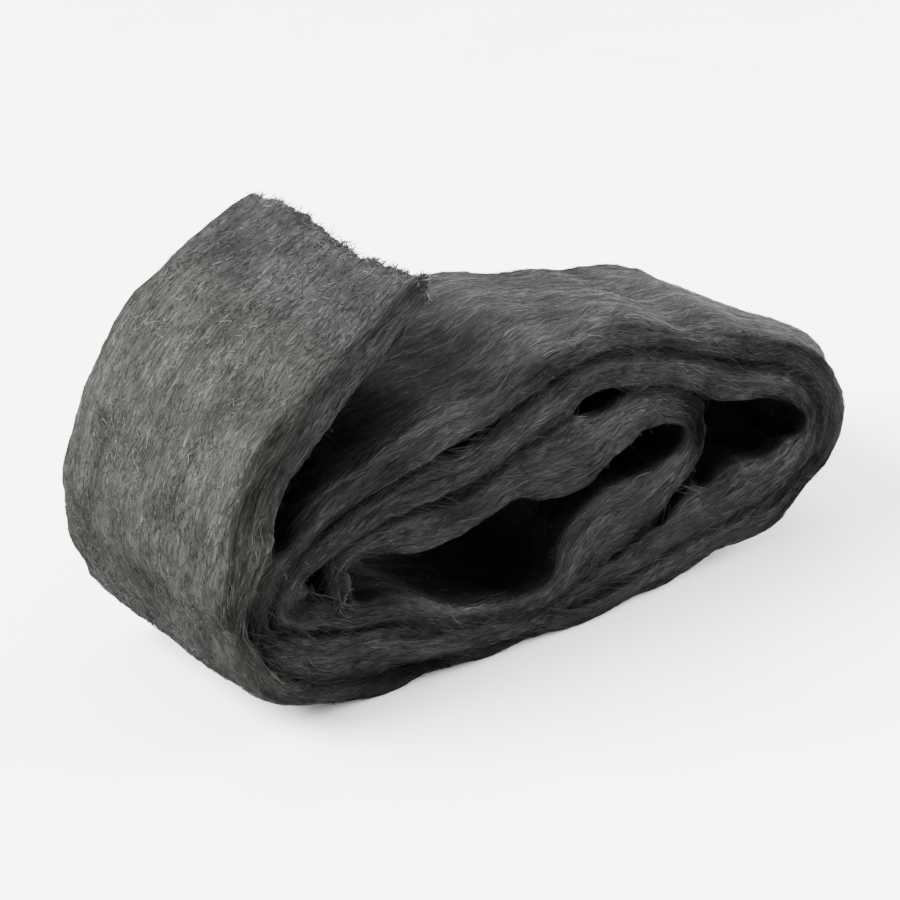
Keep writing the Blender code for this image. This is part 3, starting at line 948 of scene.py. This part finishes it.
def main():
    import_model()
    ribbon = Ribbon()
    ribbon.roughen()
    ribbon.measure_openness()
    body = build_mesh(
        "wool_ribbon", ribbon.points.reshape(-1, 3), ribbon.closed_faces(),
        openness=ribbon.openness.ravel(), unrolled=ribbon.flat.reshape(-1, 3),
    )
    body.data.materials.append(wool_body_material())
    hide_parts("wound_ribbon")

    steel = fibre_material()
    distance = ribbon.distance[:, None]
    outer_face = (ribbon.height == -1)[None]
    inner_face = (ribbon.height == 1)[None]
    near_edge = (ribbon.on_edge & (ribbon.across < 0))[None]
    far_edge = (ribbon.on_edge & (ribbon.across > 0))[None]
    lit = ribbon.openness
    in_hollows = (inner_face + outer_face * (distance > OUTSIDE_END)) * lit
    outside = outer_face * (distance < OUTSIDE_END) * (0.1 + lit)
    flap = distance < FLAP_END
    wrap = (distance >= FLAP_END) & (distance < WRAP_END)
    under = (distance >= WRAP_END) & (distance <= UNDERSIDE_END)
    top = between(distance, (UNDERSIDE_END, OUTSIDE_END))
    # Each lot of fibres: name, weight of each place on the ribbon, count, length, turn, curl and widest
    lots = [
        ("fibres_on_flap", outer_face * flap * 1.0, 3600, (3, 6), 1.0, 1.2, 0.13),
        ("fibres_on_left_wrap", outer_face * wrap * 1.0, 4600, (3, 7), 0.7, 1.0, 0.13),
        ("fibres_on_top", outer_face * top * lit, 6600, (5, 13), 0.14, 0.22, 0.08),
        ("fibres_under", outer_face * under * 1.0, 700, (4, 9), 0.3, 0.4, 0.13),
        ("fibres_on_near_edges", near_edge * (0.12 + lit), 7000, (5, 12), 0.13, 0.2, 0.15),
        ("fibres_on_far_edges", far_edge * (0.12 + lit), 3200, (5, 12), 0.13, 0.2, 0.12),
        ("fibres_in_hollows", in_hollows, 1600, (4, 9), 0.4, 0.5, 0.13),
    ]
    for number, (name, weight, count, length, turn, curl, width) in enumerate(lots):
        fibres = Fibres(ribbon, SEED + number)
        lot = fibres.tubes(name, weight, count, length, turn, curl, (-0.2, 0.1), 0.2, (0.05, width))
        lot.data.materials.append(steel)
    fibres = Fibres(ribbon, SEED + len(lots))
    above_bench = ribbon.points[:, :, 2] > MOUTH_HEIGHT
    at_mouths = (near_edge | far_edge) * between(lit, MOUTH_OPENNESS) * above_bench
    for lot in (
        fibres.tubes("stray_fibres", outside, 600, (2, 4), 0.8, 0.6, (0, 0.2), 0.25, (0.04, 0.07)),
        fibres.tubes("fuzz_at_mouths", at_mouths, 800, (2, 4.5), 0.9, 0.8, (0, 0.8), 0.4, (0.05, 0.1)),
        fibres.clumps("clumps_at_torn_end", 0, 220, 10, (0.4, 1.5), (0.12, 0.24)),
        fibres.clumps("clumps_at_inner_end", 1, 40, 10, (0.4, 1.5), (0.12, 0.24)),
        fibres.strands("strands_near", -1, 1800, (0.07, 0.13)),
        fibres.strands("strands_far", 1, 500, (0.07, 0.13)),
        fibres.wisps("wisps_near", -1, 700, (0.04, 0.08)),
        fibres.wisps("wisps_far", 1, 200, (0.04, 0.08)),
    ):
        lot.data.materials.append(steel)

    floor_and_light()
    place_camera(ribbon.shift)


main()
